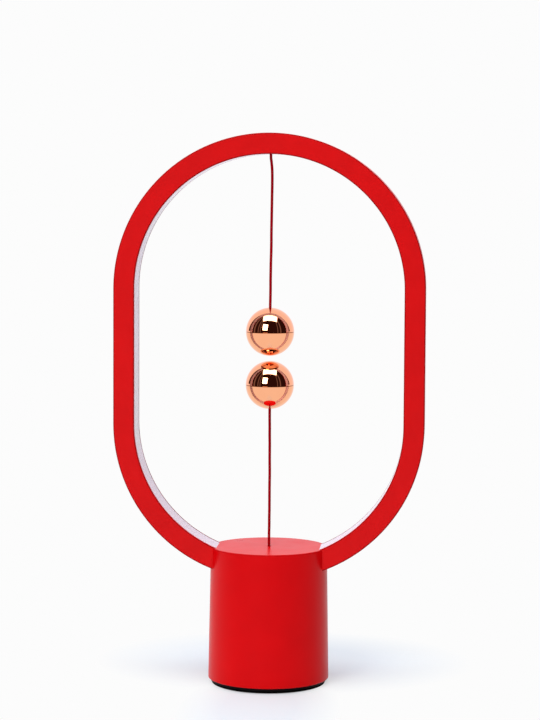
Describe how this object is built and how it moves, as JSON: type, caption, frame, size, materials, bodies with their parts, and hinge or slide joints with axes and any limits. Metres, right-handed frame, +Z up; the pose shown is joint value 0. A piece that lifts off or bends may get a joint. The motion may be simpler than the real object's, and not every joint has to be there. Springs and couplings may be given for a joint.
{
  "type": "magnetic balance lamp",
  "caption": "Table lamp: oval light ring on a round base, with two cord-hung magnetic balls that float a small gap apart and work a pull switch in the base.",
  "frame": {"origin": "on the table, at the middle of the underside of the rubber foot", "axes": "+Z up, the open front of the ring faces -Y, +X to the right seen from the front, and the power socket faces +Y"},
  "size_m": [0.135, 0.0528, 0.24],
  "materials": {
    "red_paint": "moulded plastic with a satin red paint",
    "black_plastic": "fine grained black moulding",
    "foot_rubber": "matt black rubber pad",
    "screw_steel": "zinc plated",
    "ballast_steel": "turned steel",
    "board_green": "solder mask over glass laminate",
    "socket_steel": "tinned steel",
    "part_black": "moulded component case",
    "part_grey": "ferrite",
    "capacitor_case": "sleeved can",
    "white_plastic": "plain white moulding",
    "wire_jacket": "soft wire insulation",
    "opal_plastic": "opal light diffuser, satin",
    "strip_film": "flexible circuit film",
    "led_phosphor": "phosphor filled chips",
    "spring_steel": "drawn spring wire",
    "acetal": "natural acetal",
    "red_cord": "braided cord, dark red",
    "copper_plating": "mirror copper plating on a moulded shell",
    "magnet_nickel": "nickel plated magnet"
  },
  "bodies": {
    "base": {"base_shell": "red_paint", "bottom_cover": "black_plastic", "rubber_foot": "foot_rubber", "cover_screws": "screw_steel", "ballast_weight": "ballast_steel", "circuit_board": "board_green", "board_screws": "screw_steel", "power_socket": "socket_steel", "socket_tongue": "black_plastic", "driver_chip": "part_black", "power_inductor": "part_grey", "capacitors": "capacitor_case", "resistors": "part_black", "wire_connector": "white_plastic", "led_wires": "wire_jacket", "switch_body": "part_black", "switch_cover": "socket_steel", "ring_channel": "red_paint", "ring_diffuser": "opal_plastic", "led_strip": "strip_film", "led_chips": "led_phosphor", "ring_saddle": "white_plastic", "saddle_screws": "screw_steel", "plunger_guide": "white_plastic", "guide_screws": "screw_steel", "guide_cap": "white_plastic", "return_spring": "spring_steel", "upper_cord_bridge": "white_plastic", "upper_cord_end": "red_cord"},
    "pull": {"pull_plunger": "acetal", "lower_cord_end": "red_cord"},
    "switch_key": {"switch_button": "white_plastic"},
    "lower_bend": {"lower_cord_bend": "red_cord"},
    "lower_swing": {"lower_cord": "red_cord", "lower_cord_knot": "red_cord"},
    "lower_ball": {"lower_ball_top": "copper_plating", "lower_ball_bottom": "copper_plating", "lower_magnet": "magnet_nickel"},
    "upper_bend": {"upper_cord_bend": "red_cord"},
    "upper_swing": {"upper_cord": "red_cord", "upper_cord_knot": "red_cord"},
    "upper_ball": {"upper_ball_top": "copper_plating", "upper_ball_bottom": "copper_plating", "upper_magnet": "magnet_nickel"}
  },
  "joints": [
    {"name": "cord_pull", "type": "slide", "parent": "base", "child": "pull", "axis": [0, 0, 1], "range_m": [-0.0015, 0], "stiffness_N_per_m": 100, "springref_m": 0.003, "deforming": ["return_spring"]},
    {"name": "switch_press", "type": "slide", "parent": "base", "child": "switch_key", "axis": [0, 0, 1], "range_m": [-0.0003, 0]},
    {"name": "lower_side_swing", "type": "hinge", "parent": "pull", "child": "lower_bend", "pos_m": [0, 0, 0.06225], "axis": [0, 1, 0], "range_deg": [-40, 40], "stiffness_Nm_per_rad": 0.012},
    {"name": "lower_front_swing", "type": "hinge", "parent": "lower_bend", "child": "lower_swing", "pos_m": [0, 0, 0.06225], "axis": [1, 0, 0], "range_deg": [-85, 85], "stiffness_Nm_per_rad": 0.012},
    {"name": "lower_ball_turn", "type": "hinge", "parent": "lower_swing", "child": "lower_ball", "pos_m": [0, 0, 0.1308], "axis": [0, 0, 1], "continuous": true},
    {"name": "upper_side_swing", "type": "hinge", "parent": "base", "child": "upper_bend", "pos_m": [0, 0, 0.23015], "axis": [0, 1, 0], "range_deg": [-35, 35]},
    {"name": "upper_front_swing", "type": "hinge", "parent": "upper_bend", "child": "upper_swing", "pos_m": [0, 0, 0.23015], "axis": [1, 0, 0], "range_deg": [-80, 80]},
    {"name": "upper_ball_turn", "type": "hinge", "parent": "upper_swing", "child": "upper_ball", "pos_m": [0, 0, 0.154], "axis": [0, 0, 1], "continuous": true}
  ],
  "couplings": [
    {"joint": "switch_press", "follows": "cord_pull", "ratio": 0.2}
  ]
}
